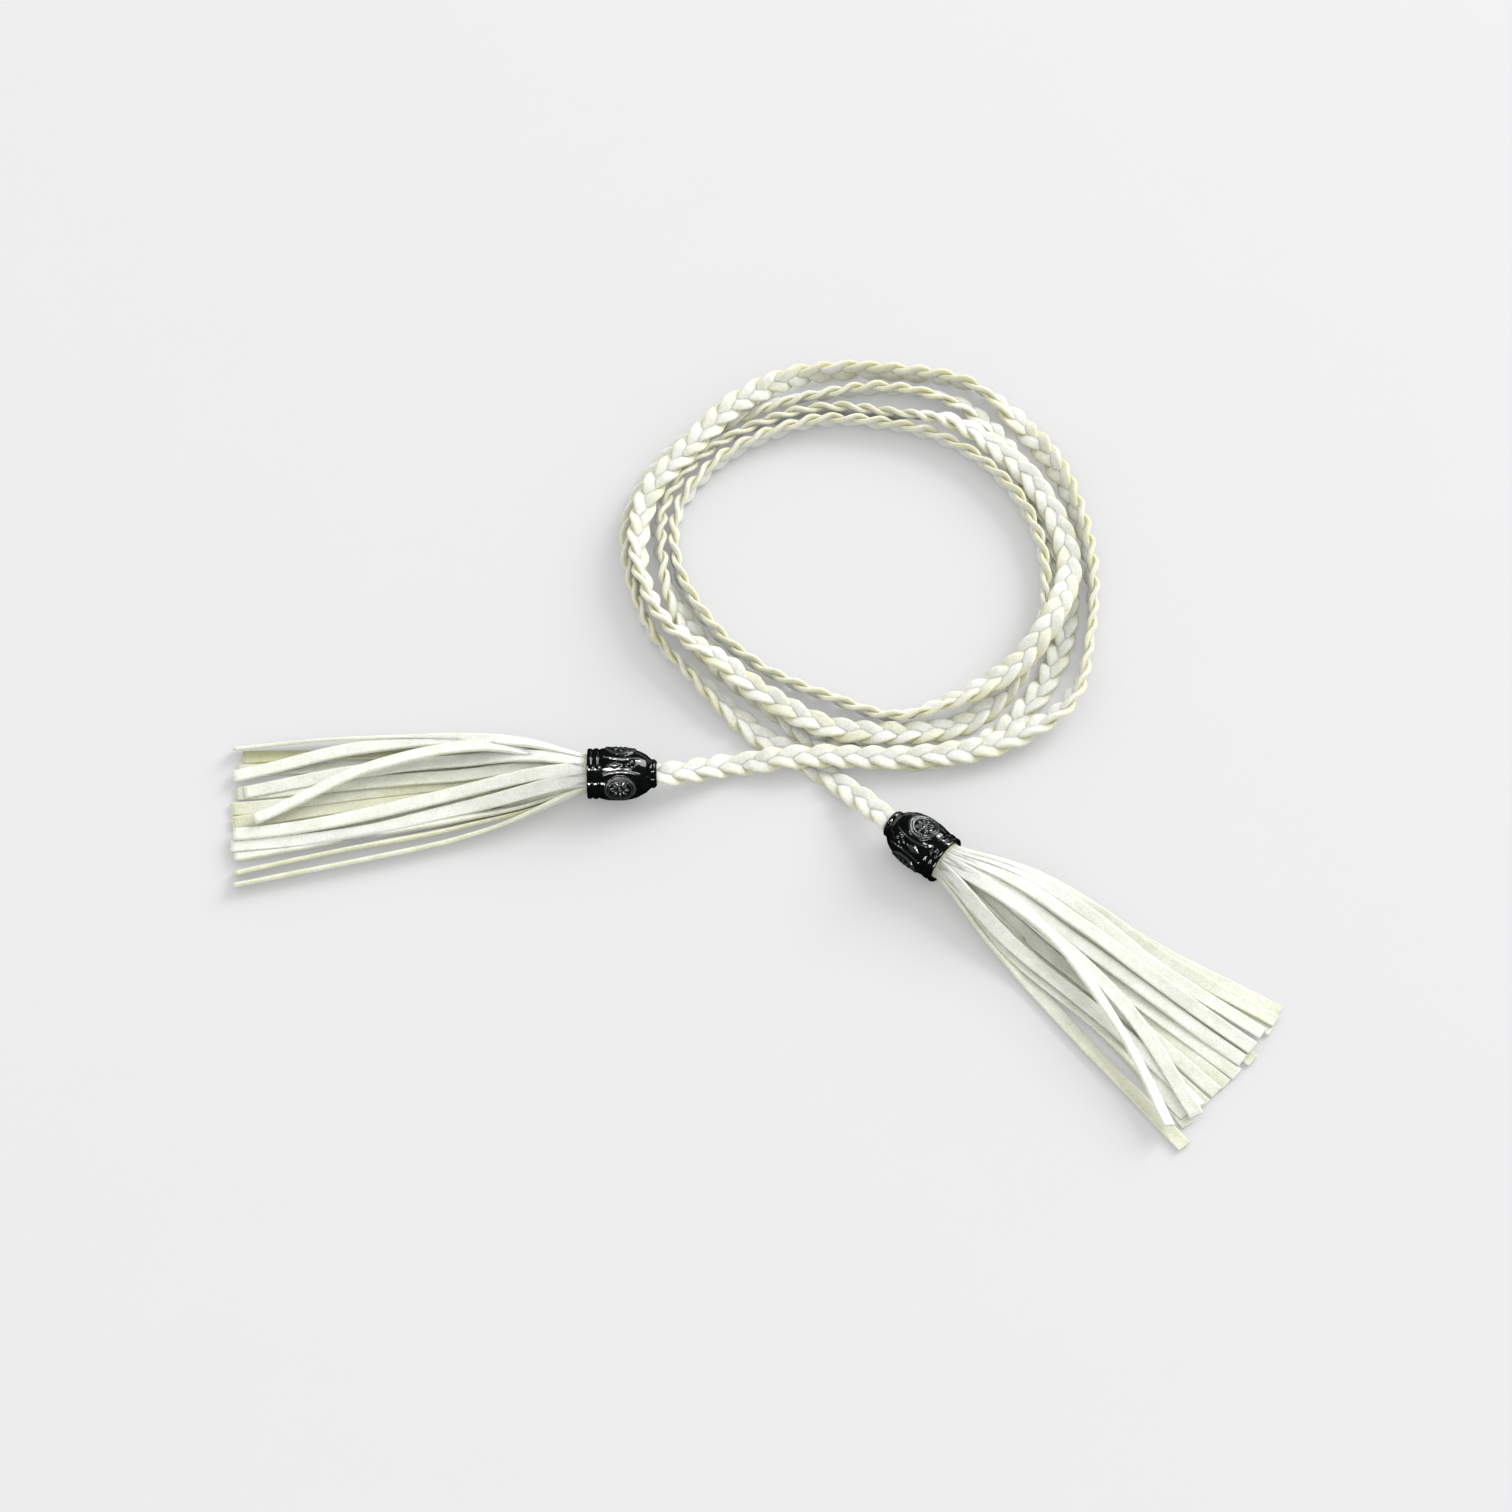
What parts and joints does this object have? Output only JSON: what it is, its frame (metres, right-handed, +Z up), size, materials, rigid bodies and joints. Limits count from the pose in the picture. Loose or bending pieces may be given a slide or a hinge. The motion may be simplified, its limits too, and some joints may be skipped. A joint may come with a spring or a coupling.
{
  "type": "braided tie belt",
  "caption": "Long flat plaited tie belt laid in a loose round coil, with a carved dark bead and a flat-strip tassel at each end.",
  "frame": {"origin": "middle of the whole laid-out belt, on the floor under it", "axes": "+Z up from the floor; -X towards the left tassel; the coil lies towards +Y and the right tassel towards +X and -Y"},
  "size_m": [0.2879, 0.2526, 0.0151],
  "materials": {
    "suede": "matte suede",
    "glazed_bead": "gloss with raised ornament"
  },
  "bodies": {
    "root": {"braid": "suede", "bead_left": "glazed_bead", "bead_right": "glazed_bead", "tassel_left": "suede", "tassel_right": "suede"}
  },
  "joints": []
}
